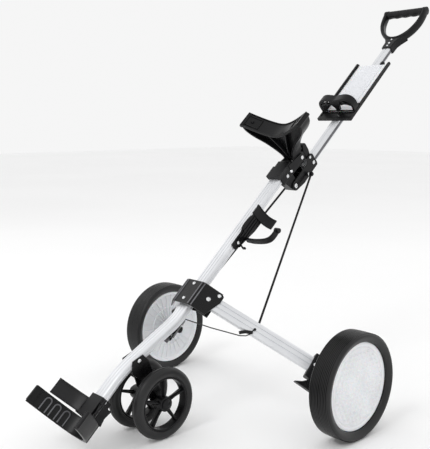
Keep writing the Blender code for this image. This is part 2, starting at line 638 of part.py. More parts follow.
# ------------------------------------------------------------------ legs, left first and then mirrored
def leg_pieces():
    section = rounded_rectangle(LEG_WIDTH, LEG_DEPTH, 0.0060)
    # The tube is built along its own Y and laid along the leg.
    tube = swept_tube("leg_tube_left", [Vector((LEG_START, 0)), Vector((LEG_END, 0))],
                      [(-x, h) for x, h in section], TUBE_WALL, SILVER, LEG_LEFT)
    tube.matrix_local = Matrix.Rotation(math.radians(-90), 4, "Z")

    holder = block("axle_bracket_left", (0.270, -0.0330, -0.0120), (0.318, 0.0270, 0.0120), BLACK, LEG_LEFT, 0.0030)
    boss = round_bar("axle_boss", (0.262, 0, BIG_RADIUS), (BIG_X - BIG_HALF_WIDTH - 0.0030, 0, BIG_RADIUS), 0.0100,
                     BLACK, TROLLEY, 20)
    join(holder, boss)
    outline = rounded_rectangle(LEG_WIDTH + 2 * GAP, LEG_DEPTH + 2 * GAP, 0.0063)
    lay = Matrix.Rotation(math.radians(-90), 4, "Z") @ ACROSS
    cut(holder, prism("axle_bracket_bore", outline, -LEG_END - GAP, -0.24, None, LEG_LEFT, turn=lay))

    axle = round_bar("axle_left", (0.266, 0, BIG_RADIUS), (BIG_X + 0.0130, 0, BIG_RADIUS), 0.0050, ZINC, TROLLEY, 16)
    axle.parent = LEG_LEFT
    axle.matrix_parent_inverse = LEG_LEFT.matrix_world.inverted() @ TROLLEY.matrix_world
    cut(holder, round_bar("axle_bracket_drill", (0.2657, 0, BIG_RADIUS), (0.34, 0, BIG_RADIUS), 0.0050 + GAP, None,
                          TROLLEY, 16))

    half = LEG_DEPTH / 2
    pivot_reach = half + GAP * 2 + SHEET
    pin = fastener("leg_pivot_left", LEG_LEFT, (0, 0, pivot_reach), (0, 0, -pivot_reach), 0.0030, 0.0052,
                   [BRACKET_FRONT, BRACKET_REAR, tube])
    stop_at = (0.0175, 0.0200)
    stop = fastener("leg_stop_bolt_left", LEG_LEFT, (*stop_at, pivot_reach), (*stop_at, -pivot_reach), 0.0024, 0.0044,
                    [BRACKET_FRONT, BRACKET_REAR])
    brackets = [BRACKET_FRONT, BRACKET_REAR]
    drill("leg_pivot_right", LEG_RIGHT, (0, 0, pivot_reach), (0, 0, -pivot_reach), 0.0030, brackets)
    drill("leg_stop_right", LEG_RIGHT, (*stop_at, pivot_reach), (*stop_at, -pivot_reach), 0.0024, brackets)
    rivet = fastener("axle_bracket_bolt_left", LEG_LEFT, (0.2800, 0.0, 0.0123), (0.2800, 0.0, -0.0123), 0.0020,
                     0.0042, [holder, tube], head_height=0.0020, sides=12)
    return tube, holder, axle, pin, stop, rivet


def tie_rod(tube):
    """Tie rod from the channel's pin to the leg, where its bent end turns in a hole in the leg's back."""
    half = LEG_DEPTH / 2
    to_leg = LEG_LEFT.matrix_world.inverted() @ HANDLE.matrix_world
    top = to_leg @ ROD_LUG
    low = Vector((ROD_ON_LEG, 0, -half - 0.0050))
    run = (top - low).normalized()
    rod = round_bar("tie_rod_left", low, top - run * 0.003, ROD_RADIUS, STEEL_BLACK, LEG_LEFT, 12)
    bent_end = round_bar("rod_bent_end", low - Vector((0, 0, 0.0020)), low + Vector((0, 0, 0.0110)), 0.0024,
                         STEEL_BLACK, LEG_LEFT, 12)
    across = to_leg.to_3x3() @ Vector((1, 0, 0))
    eye = round_bar("rod_top_eye", top - across * 0.0030, top + across * 0.0030, 0.0060, STEEL_BLACK, LEG_LEFT, 14)
    dome = round_bar("rod_top_dome", top + across * 0.0029, top + across * 0.0052, 0.0042, STEEL_BLACK, LEG_LEFT, 14)
    join(rod, bent_end, eye, dome)
    cut(tube, round_bar("rod_drill", low - Vector((0, 0, 0.004)), low + Vector((0, 0, 0.0120)), 0.0024 + ROD_PLAY, None,
                        LEG_LEFT, 12))
    return rod


leg_parts = leg_pieces()
rod = tie_rod(leg_parts[0])
# The rods stand beside this pin's long heads with a gap, where the folding linkage is open.
fastener("rod_pin", HANDLE, (0.0153, ROD_LUG.y, ROD_LUG.z), (-0.0153, ROD_LUG.y, ROD_LUG.z), 0.0025, 0.0042,
         [CHANNEL], head_height=0.0046)


BRAKE_PIVOT = (0.2900, -0.0430)


def brake_lever(holder):
    """Foot lever on stub pins between two ears under the axle bracket."""
    for z in (-0.0110, 0.0082):
        ear = prism(f"brake_ear_{z:.4f}", arc(BRAKE_PIVOT, 0.0065, 180, 360, 6) + [(0.2985, -0.028), (0.2815, -0.028)],
                    z, z + 0.0028, BLACK, LEG_LEFT)
        join(holder, ear)
    outline = [(0.3010, -0.0372), (0.3080, -0.0480), (0.2990, -0.0570), (0.2560, -0.0545), (0.2720, -0.0460),
               (0.2810, -0.0372)]
    made = bevelled(prism("brake_lever_left", outline, -0.0070, 0.0070, BLACK, LEG_LEFT), 0.0012, 1)
    stub = round_bar("brake_stub", (*BRAKE_PIVOT, -0.0118), (*BRAKE_PIVOT, 0.0118), 0.0028, BLACK, LEG_LEFT, 12)
    join(made, stub)
    drill("brake", LEG_LEFT, (*BRAKE_PIVOT, -0.013), (*BRAKE_PIVOT, 0.013), 0.0028, [holder])
    return made


BRAKE = brake_lever(leg_parts[1])


def spread_wire():
    """Wire between the legs, with a hook round each leg's lower edge."""
    to_trolley = TROLLEY.matrix_world.inverted() @ LEG_LEFT.matrix_world
    half, low = LEG_DEPTH / 2, -LEG_WIDTH / 2
    hook = [(ROD_ON_LEG - 0.008, low + 0.012, half + 0.0024), (ROD_ON_LEG - 0.010, low - 0.001, half + 0.0024),
            (ROD_ON_LEG - 0.012, low - 0.0032, half - 0.002), (ROD_ON_LEG - 0.016, low - 0.0036, -half)]
    left = [to_trolley @ Vector(point) for point in hook]
    drop = left[-1] + Vector((-0.020, 0.0, -0.004))
    flip = Matrix.Diagonal((-1, 1, 1))
    route = left + [drop, Vector((0, drop.y, drop.z - 0.002)), flip @ drop] + [flip @ point for point in left[::-1]]
    curve = bpy.data.curves.new("spread_wire", "CURVE")
    curve.dimensions = "3D"
    curve.bevel_depth = 0.0014
    curve.bevel_resolution = 2
    curve.use_fill_caps = True
    spline = curve.splines.new("POLY")
    spline.points.add(len(route) - 1)
    for point, place in zip(spline.points, route):
        point.co = (*place, 1.0)
    curve.materials.append(finish_of(STEEL_BLACK))
    made = bpy.data.objects.new("spread_wire", curve)
    PARTS.objects.link(made)
    made.parent = TROLLEY
    return made


spread_wire()


# ------------------------------------------------------------------ wheels
def big_wheel():
    """Tyre, rim and outer cover of a rear wheel; local X is its axle and +X its outer side."""
    w = BIG_HALF_WIDTH
    tread = arc((BIG_RADIUS - 0.0090, w - 0.0090), 0.0090, 90, 0, 3)
    side = [(BIG_RADIUS - 0.0180, w - 0.0010), (BIG_RADIUS - 0.0205, w - 0.0060)]
    half = [(r, x) for r, x in tread]
    outline = [(side[1][0], side[1][1]), (side[0][0], side[0][1])] + half
    profile = outline + [(r, -x) for r, x in outline[::-1]]
    tyre = turned("big_tyre_left", profile, TYRE, WHEEL_LEFT, axis=(1, 0, 0), steps=40)
    seat = BIG_RADIUS - 0.0205 - GAP
    rim_outline = [(0.0050 + RUN, 0.0120), (0.0050 + RUN, -0.0250), (0.0190, -0.0250), (0.0220, -0.0150), (0.0880, -0.0120),
                   (0.0940, -0.0205), (seat, -0.0205), (seat, 0.0150), (0.0945, 0.0150), (0.0900, -0.0060),
                   (0.0230, -0.0080), (0.0190, 0.0120)]
    rim = turned("big_rim_left", rim_outline, WHITE, WHEEL_LEFT, axis=(1, 0, 0), steps=40)
    cover_outline = [(0.0, 0.0225), (0.0300, 0.0220), (0.0640, 0.0205), (0.0930, 0.0178), (0.0965, 0.0160),
                     (0.0965, 0.0153), (0.0, 0.0180)]
    cover = turned("big_cover_left", cover_outline, WHITE, WHEEL_LEFT, axis=(1, 0, 0), steps=40)
    return tyre, rim, cover


BIG = big_wheel()


def small_wheel(side):
    """Tyre and five-spoked rim of a front wheel."""
    label = "left" if side > 0 else "right"
    at = (side * SMALL_X, 0, 0)
    w, radius = SMALL_HALF_WIDTH, SMALL_RADIUS
    crown = arc((radius - 0.0130, 0), 0.0130, -80, 80, 6)
    profile = [(radius - 0.0200, -w + 0.0015)] + crown + [(radius - 0.0200, w - 0.0015)]
    turned(f"small_tyre_{label}", profile[::-1], TYRE, FRONT, at, (side, 0, 0), 32)
    seat = radius - 0.0200 - GAP
    rim = turned(f"small_rim_{label}", [(seat, 0.0110), (seat, -0.0110), (seat - 0.0040, -0.0110), (seat - 0.0040, 0.0110)],
                 BLACK, FRONT, at, (side, 0, 0), 32)
    hub = turned(f"small_hub_{label}", [(0.0, 0.0115), (0.0165, 0.0115), (0.0165, -0.0125), (0.0, -0.0125)], BLACK,
                 FRONT, at, (side, 0, 0), 20)
    join(rim, hub)
    for i in range(5):
        angle = 2 * math.pi * i / 5 + math.pi / 2
        spoke = prism(f"spoke_{label}_{i}", [(0.0120, -0.0052), (seat - 0.0015, -0.0030), (seat - 0.0015, 0.0030),
                                             (0.0120, 0.0052)], -0.0060, 0.0060, BLACK, FRONT, at,
                      Matrix.Rotation(angle, 4, "X") @ Matrix.Rotation(math.radians(90), 4, "Y"))
        join(rim, spoke)
    cut(rim, round_bar(f"small_bore_{label}", (at[0] - 0.05, 0, 0), (at[0] + 0.05, 0, 0), 0.0040 + RUN, None, FRONT, 16))


small_wheel(1)
small_wheel(-1)

# ------------------------------------------------------------------ the right side
RIGHT_OF = {leg_parts + (rod, BRAKE): LEG_RIGHT, BIG: WHEEL_RIGHT}
for group, home in RIGHT_OF.items():
    for left in group:
        mirrored(left, left.name.replace("_left", "_right"), home)
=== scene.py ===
"""Looks of the folding golf push trolley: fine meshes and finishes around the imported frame.

Metres, +Z up, -Y forwards. The tube, the handle and each leg have a frame of their own, laid out as in the part.
"""
import json
import math

import bmesh
import bpy
from mathutils import Matrix, Vector


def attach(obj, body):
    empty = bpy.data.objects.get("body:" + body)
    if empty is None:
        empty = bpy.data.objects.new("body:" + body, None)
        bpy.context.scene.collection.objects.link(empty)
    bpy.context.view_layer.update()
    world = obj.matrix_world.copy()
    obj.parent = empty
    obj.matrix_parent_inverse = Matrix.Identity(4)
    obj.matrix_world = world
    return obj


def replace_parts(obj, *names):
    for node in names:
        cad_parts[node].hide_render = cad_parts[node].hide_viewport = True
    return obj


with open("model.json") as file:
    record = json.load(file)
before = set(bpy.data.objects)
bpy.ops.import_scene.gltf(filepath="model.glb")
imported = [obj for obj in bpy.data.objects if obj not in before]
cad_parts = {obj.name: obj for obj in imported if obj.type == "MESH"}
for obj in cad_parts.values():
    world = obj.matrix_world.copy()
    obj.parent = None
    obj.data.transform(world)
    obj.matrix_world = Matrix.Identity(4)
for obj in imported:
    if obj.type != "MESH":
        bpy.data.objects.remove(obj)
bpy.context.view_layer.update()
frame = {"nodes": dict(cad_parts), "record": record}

# ------------------------------------------------------------------ driving dimensions, metres
AXLE_Y = -0.0573
TUBE_SLOPE = math.radians(42.0)
BRACKET_MID = Vector((0.0, AXLE_Y - 0.162, 0.306))
TUBE_WIDTH, TUBE_DEPTH = 0.032, 0.019
TUBE_LINE = [(0.400, 0.0), (-0.095, 0.0), (-0.265, 0.0425), (-0.360, 0.041)]

BIG_RADIUS, BIG_HALF_WIDTH, BIG_X = 0.120, 0.0275, 0.324
SMALL_RADIUS, SMALL_HALF_WIDTH, SMALL_X, SMALL_AHEAD = 0.080, 0.013, 0.0445, 0.307

LEG_PIVOT = Vector((0.042, -0.020, -0.008))
LEG_AXLE_X = 0.279
LEG_WIDTH, LEG_DEPTH = 0.034, 0.018
LEG_START, LEG_END = -0.006, 0.290

HINGE_PIN = Vector((0.0, 0.388, -0.050))
HANDLE_WIDTH, HANDLE_DEPTH, HANDLE_DROP = 0.025, 0.0175, -0.002
HANDLE_START, HANDLE_END = 0.068, 0.598
GRIP_TILT = math.radians(13.0)
GRIP_BAR_UP, GRIP_HALF = 0.1080, 0.0640
BOARD_UP = HANDLE_DROP + HANDLE_DEPTH / 2 + 0.0012
PANEL_LOW, PANEL_HIGH = 0.239, 0.474

# ------------------------------------------------------------------ frames
TUBE = Matrix.Translation(BRACKET_MID) @ Matrix.Rotation(TUBE_SLOPE, 4, "X")
HANDLE = TUBE @ Matrix.Translation(HINGE_PIN)
GRIP = HANDLE @ Matrix.Translation((0, 0.588, HANDLE_DROP)) @ Matrix.Rotation(GRIP_TILT, 4, "X")


def leg_frame(side):
    """X along the leg, Y nearly up the main tube, Z along the pivot pin."""
    pivot = TUBE @ Vector((side * LEG_PIVOT.x, LEG_PIVOT.y, LEG_PIVOT.z))
    leg = (Vector((side * LEG_AXLE_X, AXLE_Y, BIG_RADIUS)) - pivot).normalized()
    up_tube = TUBE.to_3x3() @ Vector((0, 1, 0))
    pin = leg.cross(up_tube).normalized()
    turn = Matrix((leg, pin.cross(leg), pin)).transposed().to_4x4()
    return Matrix.Translation(pivot) @ turn


def wheel_frame(x, y, z, side):
    """X along the axle, pointing outwards from the trolley."""
    turn = Matrix() if side > 0 else Matrix.Rotation(math.pi, 4, "Z")
    return Matrix.Translation((side * x, y, z)) @ turn


# ------------------------------------------------------------------ finishes
def mix_colour(nodes, links, factor, first, second):
    mix = nodes.new("ShaderNodeMix")
    mix.data_type = "RGBA"
    links.new(factor, mix.inputs["Factor"])
    mix.inputs["A"].default_value = (*first, 1)
    mix.inputs["B"].default_value = (*second, 1)
    return mix.outputs["Result"]


def ramp(nodes, links, value, low, high, low_out, high_out):
    spread = nodes.new("ShaderNodeMapRange")
    links.new(value, spread.inputs["Value"])
    for name, number in zip(("From Min", "From Max", "To Min", "To Max"), (low, high, low_out, high_out)):
        spread.inputs[name].default_value = number
    return spread.outputs["Result"]


def noise(nodes, links, coordinates, scale, detail=3.0, roughness=0.55):
    texture = nodes.new("ShaderNodeTexNoise")
    links.new(coordinates, texture.inputs["Vector"])
    texture.inputs["Scale"].default_value = scale
    texture.inputs["Detail"].default_value = detail
    texture.inputs["Roughness"].default_value = roughness
    return texture.outputs["Fac"]


def finish(name, dark, light, roughness, metallic=0.0, patch=14.0, grain=900.0, bump=0.00006, stretch=None,
           turn=(0, 0, 0), **sockets):
    """A material with slow patches of colour, uneven gloss and a fine grain that is also raised."""
    material = bpy.data.materials.new(name)
    material.use_nodes = True
    nodes, links = material.node_tree.nodes, material.node_tree.links
    shader = nodes["Principled BSDF"]
    place = nodes.new("ShaderNodeTexCoord").outputs["Object"]
    if stretch:
        lay = nodes.new("ShaderNodeMapping")
        links.new(place, lay.inputs["Vector"])
        lay.inputs["Rotation"].default_value = turn
        lay.inputs["Scale"].default_value = stretch
        fine_place = lay.outputs["Vector"]
    else:
        fine_place = place
    slow = noise(nodes, links, place, patch)
    fine = noise(nodes, links, fine_place, grain, 2.0)
    links.new(mix_colour(nodes, links, ramp(nodes, links, slow, 0.35, 0.65, 0, 1), dark, light),
              shader.inputs["Base Color"])
    uneven = nodes.new("ShaderNodeMath")
    uneven.operation = "ADD"
    links.new(ramp(nodes, links, slow, 0.3, 0.7, roughness[0], roughness[1]), uneven.inputs[0])
    links.new(ramp(nodes, links, fine, 0.3, 0.7, -0.04, 0.04), uneven.inputs[1])
    links.new(uneven.outputs["Value"], shader.inputs["Roughness"])
    raised = nodes.new("ShaderNodeBump")
    raised.inputs["Strength"].default_value = 0.6
    raised.inputs["Distance"].default_value = bump
    links.new(fine, raised.inputs["Height"])
    links.new(raised.outputs["Normal"], shader.inputs["Normal"])
    shader.inputs["Metallic"].default_value = metallic
    for socket, value in sockets.items():
        shader.inputs[socket.replace("_", " ")].default_value = value
    return material


MOULDED = finish("moulded_black_grain", (0.0030, 0.0030, 0.0034), (0.0070, 0.0070, 0.0078), (0.26, 0.40),
                 bump=0.00008, Specular_IOR_Level=0.22)
PAINTED = finish("black_powder_coat", (0.0030, 0.0030, 0.0034), (0.0065, 0.0065, 0.0070), (0.22, 0.34),
                 grain=1400.0, bump=0.00005, Specular_IOR_Level=0.24)
RUBBER_TYRE = finish("tyre_rubber_worn", (0.0035, 0.0035, 0.0038), (0.0085, 0.0085, 0.0090), (0.30, 0.44),
                     patch=9.0, grain=1100.0, bump=0.00010, Specular_IOR_Level=0.42)
GRIP_RUBBER = finish("grip_rubber_soft", (0.0040, 0.0040, 0.0044), (0.0080, 0.0080, 0.0086), (0.42, 0.56),
                     grain=1300.0, bump=0.00012, Specular_IOR_Level=0.26)
SILVER_TUBE = finish("silver_tube_brushed", (0.68, 0.69, 0.71), (0.78, 0.79, 0.81), (0.30, 0.40), 0.62, 6.0, 60.0,
                     0.00002, (14.0, 0.25, 14.0), (-TUBE_SLOPE, 0, 0))
ZINC = finish("zinc_plate", (0.70, 0.71, 0.72), (0.84, 0.85, 0.86), (0.20, 0.34), 1.0, 120.0, 700.0, 0.00003)
WHITE = finish("white_plastic_shell", (0.80, 0.81, 0.83), (0.86, 0.87, 0.89), (0.34, 0.46), 0.0, 18.0, 800.0,
               0.00004, Subsurface_Weight=0.08, Subsurface_Scale=0.004)
# Painted light: this grey stands in for the shade on the handle tube's shaded side faces, and for highlights on
# the clamp ridges and the base cradle's arched ridges.
PAINTED_SHADE_AND_HIGHLIGHT = finish("painted_shade_and_highlight_grey", (0.10, 0.10, 0.11), (0.17, 0.17, 0.18), (0.30, 0.42), 0.6,
                    20.0, 300.0, 0.00002)
CARD = finish("grey_card_stock", (0.74, 0.75, 0.78), (0.80, 0.81, 0.84), (0.42, 0.55), 0.0, 30.0, 1500.0, 0.00003)


# ------------------------------------------------------------------ mesh helpers
def piece(name, shape, material, body, at, edge=0.0, soften=0, flat=False):
    """An object from a bmesh in a frame, riding on a body."""
    mesh = bpy.data.meshes.new(name)
    bmesh.ops.recalc_face_normals(shape, faces=shape.faces)
    shape.to_mesh(mesh)
    shape.free()
    if not flat:
        mesh.shade_smooth()
        mesh.set_sharp_from_angle(angle=math.radians(38))
    mesh.materials.append(material)
    made = bpy.data.objects.new(name, mesh)
    bpy.context.scene.collection.objects.link(made)
    made.matrix_world = at
    if edge:
        rounding = made.modifiers.new("edges", "BEVEL")
        rounding.width = edge
        rounding.segments = 3
        rounding.limit_method = "ANGLE"
        rounding.angle_limit = math.radians(35)
        rounding.harden_normals = True
    if soften:
        surface = made.modifiers.new("soften", "SUBSURF")
        surface.levels = soften
        surface.render_levels = soften
    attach(made, body)
    return made


def arc(centre, radius, start, end, steps):
    angles = [math.radians(start + (end - start) * i / steps) for i in range(steps + 1)]
    return [(centre[0] + radius * math.cos(a), centre[1] + radius * math.sin(a)) for a in angles]


def smooth_line(points, steps=6):
    """A Catmull-Rom line through the points."""
    points = [Vector(p) for p in points]
    ends = [2 * points[0] - points[1]] + points + [2 * points[-1] - points[-2]]
    line = []
    for a, b, c, d in zip(ends, ends[1:], ends[2:], ends[3:]):
        for i in range(steps):
            t = i / steps
            line.append(0.5 * ((2 * b) + (c - a) * t + (2 * a - 5 * b + 4 * c - d) * t * t
                               + (3 * b - a - 3 * c + d) * t ** 3))
    return line + [points[-1]]


def filleted(points, radii, steps=10):
    """A path of straight runs whose inner corners are rounded."""
    path = [Vector(points[0])]
    for before, corner, after, radius in zip(points, points[1:], points[2:], radii):
        before, corner, after = Vector(before), Vector(corner), Vector(after)
        into, out = (before - corner).normalized(), (after - corner).normalized()
        reach = radius / math.tan(into.angle(out) / 2)
        first, last = corner + into * reach, corner + out * reach
        for i in range(steps + 1):
            t = i / steps
            path.append((1 - t) ** 2 * first + 2 * t * (1 - t) * corner + t * t * last)
    path.append(Vector(points[-1]))
    return path


def strip(points, thickness):
    """Outline of a strip of even thickness about a middle line."""
    points = [Vector(p) for p in points]
    left, right = [], []
    for i, point in enumerate(points):
        before = (point - points[i - 1]).normalized() if i else (points[1] - point).normalized()
        after = (points[i + 1] - point).normalized() if i < len(points) - 1 else before
        mean = (before + after).normalized()
        side = Vector((-mean[1], mean[0])) * (thickness / 2 / max(0.4, mean.dot(before)))
        left.append(tuple(point + side))
        right.append(tuple(point - side))
    return left + right[::-1]


def offset_line(points, distance):
    """The line moved to its left by a distance."""
    outline = strip(points, 2 * distance)
    return outline[:len(points)]


def add_prism(shape, outline, low, high, lay=lambda x, y, h: (x, y, h)):
    """Adds an extruded outline; lay says where (x, y, height) goes."""
    base = [shape.verts.new(lay(x, y, low)) for x, y in outline]
    top = [shape.verts.new(lay(x, y, high)) for x, y in outline]
    count = len(outline)
    shape.faces.new(base[::-1])
    shape.faces.new(top)
    for i in range(count):
        j = (i + 1) % count
        shape.faces.new((base[i], base[j], top[j], top[i]))


def across(x, n, s):
    """Outlines drawn across the tube, extruded along it."""
    return (x, s, n)


def sideways(s, n, x):
    """Outlines drawn in side view, extruded across."""
    return (x, s, n)


def add_box(shape, low, high):
    add_prism(shape, [(low[0], low[1]), (high[0], low[1]), (high[0], high[1]), (low[0], high[1])], low[2], high[2])


def add_round(shape, start, end, radius, steps=20, end_radius=None):
    """Adds a bar with a circular section."""
    start, end = Vector(start), Vector(end)
    turn = Vector((0, 0, 1)).rotation_difference((end - start).normalized()).to_matrix().to_4x4()
    bmesh.ops.create_cone(shape, cap_ends=True, segments=steps, radius1=radius,
                          radius2=radius if end_radius is None else end_radius, depth=(end - start).length,
                          matrix=Matrix.Translation((start + end) / 2) @ turn)


def lathe(shape, outline, steps, closed=True, height=None):
    """Turns an outline of (radius, x) about X. height(radius, angle, x) may move a point along X."""
    rings = []
    for i in range(steps):
        angle = 2 * math.pi * i / steps
        ring = []
        for radius, x in outline:
            lift = height(radius, angle, x) if height else 0.0
            ring.append(shape.verts.new((x + lift, radius * math.cos(angle), radius * math.sin(angle))))
        rings.append(ring)
    last = len(outline) if closed else len(outline) - 1
    for i, ring in enumerate(rings):
        after = rings[(i + 1) % steps]
        for j in range(last):
            k = (j + 1) % len(outline)
            shape.faces.new((ring[j], ring[k], after[k], after[j]))
    bmesh.ops.remove_doubles(shape, verts=shape.verts, dist=1e-7)


def sweep(shape, path, section):
    """A capped bar along a path in the local YZ plane; the section is (across, out)."""
    rings = []
    for i, point in enumerate(path):
        ahead = path[min(i + 1, len(path) - 1)] - path[max(i - 1, 0)]
        out = Vector((-ahead[1], ahead[0])).normalized()
        rings.append([shape.verts.new((x, point[0] + out[0] * h, point[1] + out[1] * h)) for x, h in section])
    count = len(section)
    for near, far in zip(rings, rings[1:]):
        for i in range(count):
            j = (i + 1) % count
            shape.faces.new((near[i], near[j], far[j], far[i]))
    shape.faces.new(rings[0][::-1])
    shape.faces.new(rings[-1])


def wire(name, points, radius, material, body, at, resolution=4, smooth=True):
    """Round bar along points in a frame."""
    curve = bpy.data.curves.new(name, "CURVE")
    curve.dimensions = "3D"
    curve.bevel_depth = radius
    curve.bevel_resolution = resolution
    curve.use_fill_caps = True
    line = smooth_line(points) if smooth else points
    spline = curve.splines.new("POLY")
    spline.points.add(len(line) - 1)
    for point, place in zip(spline.points, line):
        point.co = (*place, 1.0)
    curve.materials.append(material)
    made = bpy.data.objects.new(name, curve)
    bpy.context.scene.collection.objects.link(made)
    made.matrix_world = at
    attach(made, body)
    return made


def grooved_section(width, depth, corner, wide_grooves, side_groove, groove=0.0030, sink=0.0011):
    """A rounded rectangle with shallow grooves along its wide faces and its sides."""
    half_w, half_d = width / 2, depth / 2

    def wide_face(sign):
        points = []
        for middle in (wide_grooves if sign < 0 else wide_grooves[::-1]):
            for dx, dy in ((-1.0, 0.0), (-0.55, 1.0), (0.55, 1.0), (1.0, 0.0)):
                x = middle + dx * groove / 2 * (1 if sign < 0 else -1)
                points.append((x, sign * (half_d - dy * sink)))
        return points

    def side_face(sign):
        if not side_groove:
            return []
        return [(sign * (half_w - dy * sink), sign * d * groove / 2)
                for d, dy in ((-1.0, 0.0), (-0.55, 1.0), (0.55, 1.0), (1.0, 0.0))]

    x, y = half_w - corner, half_d - corner
    return (wide_face(-1) + arc((x, -y), corner, 270, 360, 4) + side_face(1) + arc((x, y), corner, 0, 90, 4)
            + wide_face(1) + arc((-x, y), corner, 90, 180, 4) + side_face(-1) + arc((-x, -y), corner, 180, 270, 4))


# ------------------------------------------------------------------ tubes
def tubes():
    shape = bmesh.new()
    section = grooved_section(TUBE_WIDTH, TUBE_DEPTH, 0.0042, (-0.0085, 0.0, 0.0085), True)
    sweep(shape, filleted(TUBE_LINE, (0.16, 0.26)), section)
    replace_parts(piece("main_tube_skin", shape, SILVER_TUBE, "frame", TUBE), "main_tube")

    shape = bmesh.new()
    section = grooved_section(HANDLE_WIDTH, HANDLE_DEPTH, 0.0036, (0.0,), True)
    sweep(shape, [Vector((HANDLE_START, HANDLE_DROP)), Vector((HANDLE_END, HANDLE_DROP))], section)
    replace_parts(piece("handle_tube_skin", shape, SILVER_TUBE, "handle", HANDLE), "handle_tube")

    for side, label in ((1, "left"), (-1, "right")):
        shape = bmesh.new()
        section = grooved_section(LEG_WIDTH, LEG_DEPTH, 0.0052, (-0.0055, 0.0055), False, 0.0034, 0.0016)
        sweep(shape, [Vector((LEG_START, 0)), Vector((LEG_END, 0))], section)
        lay = leg_frame(side) @ Matrix.Rotation(math.radians(-90), 4, "Z")
        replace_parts(piece(f"leg_skin_{label}", shape, SILVER_TUBE, f"leg_{label}", lay), f"leg_tube_{label}")


# ------------------------------------------------------------------ wheels
def big_wheel(side, label):
    body, at = f"wheel_{label}", wheel_frame(BIG_X, AXLE_Y, BIG_RADIUS, side)
    w = BIG_HALF_WIDTH

    # Tyre: a round crown cut by fine grooves that run round it.
    half = [(0.0995, 0.0165), (0.0995, 0.0195), (0.1010, 0.0222), (0.1035, 0.0240), (0.1075, 0.0262),
            (0.1110, w - 0.0004), (0.1135, w), (0.1158, 0.0266), (0.1176, 0.0248), (0.1188, 0.0222)]
    ridge = 0.0040
    crown = []
    for i in range(6, 0, -1):
        x = ridge * (i - 0.5)
        top = BIG_RADIUS - 0.0006 * (x / 0.022) ** 2
        crown += [(top, x + ridge * 0.36), (top, x - ridge * 0.22), (top - 0.0020, x - ridge * 0.36),
                  (top - 0.0020, x - ridge * 0.50)]
    half += crown
    outline = half + [(r, -x) for r, x in half[::-1]]
    shape = bmesh.new()
    lathe(shape, outline, 144)
    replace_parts(piece(f"big_tyre_skin_{label}", shape, RUBBER_TYRE, body, at), f"big_tyre_{label}")

    # Outer cover: a flat ring and a low dome with hollows like those of a golf ball.
    pitch, hollow, sink = 0.0128, 0.0057, 0.0030

    def dimple(radius, angle, x):
        if radius > 0.0835 or x < 0.0150:
            return 0.0
        u, v = radius * math.cos(angle), radius * math.sin(angle)
        row = round(v / (pitch * 0.866))
        best = 1.0
        for r in (row - 1, row, row + 1):
            shift = 0.5 * (r % 2)
            column = round(u / pitch - shift)
            distance = math.hypot(u - (column + shift) * pitch, v - r * pitch * 0.866)
            best = min(best, distance)
        return -sink * max(0.0, 1 - (best / hollow) ** 2) ** 0.8 if best < hollow else 0.0

    def dome(radius):
        return 0.0215 - 0.0052 * (radius / 0.0870) ** 2

    fine = [(0.0872 * (1 - i / 62), dome(0.0872 * (1 - i / 62))) for i in range(62)] + [(0.0004, dome(0))]
    outline = ([(0.0004, 0.0120), (0.0985, 0.0105), (0.0988, 0.0150), (0.0980, 0.0162), (0.0965, 0.0166),
                (0.0905, 0.0166), (0.0892, 0.0158), (0.0886, 0.0150), (0.0880, 0.0160)] + fine)
    shape = bmesh.new()
    lathe(shape, outline, 288, True, dimple)
    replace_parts(piece(f"big_cover_skin_{label}", shape, WHITE, body, at), f"big_cover_{label}")

    # Rim: ring and web, with radial ribs and a hub on the inner side.
    outline = [(0.0056, 0.0120), (0.0056, -0.0250), (0.0180, -0.0250), (0.0190, -0.0240), (0.0205, -0.0160),
               (0.0225, -0.0130), (0.0540, -0.0125), (0.0545, -0.0150), (0.0565, -0.0150), (0.0570, -0.0122),
               (0.0880, -0.0118), (0.0900, -0.0130), (0.0925, -0.0200), (0.0940, -0.0210), (0.0985, -0.0210),
               (0.0992, -0.0195), (0.0992, 0.0130), (0.0230, 0.0010), (0.0190, 0.0120)]
    shape = bmesh.new()
    lathe(shape, outline, 144)
    ribs = 30
    for i in range(ribs):
        turn = Matrix.Rotation(2 * math.pi * i / ribs, 4, "X")
        rib = bmesh.new()
        add_prism(rib, [(0.0200, -0.0190), (0.0260, -0.0165), (0.0900, -0.0150), (0.0935, -0.0190),
                        (0.0935, -0.0110), (0.0200, -0.0110)], -0.0008, 0.0008, lambda r, x, h: (x, r, h))
        rib.transform(turn)
        mesh = bpy.data.meshes.new("rib")
        rib.to_mesh(mesh)
        rib.free()
        shape.from_mesh(mesh)
        bpy.data.meshes.remove(mesh)
    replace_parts(piece(f"big_rim_skin_{label}", shape, WHITE, body, at), f"big_rim_{label}")


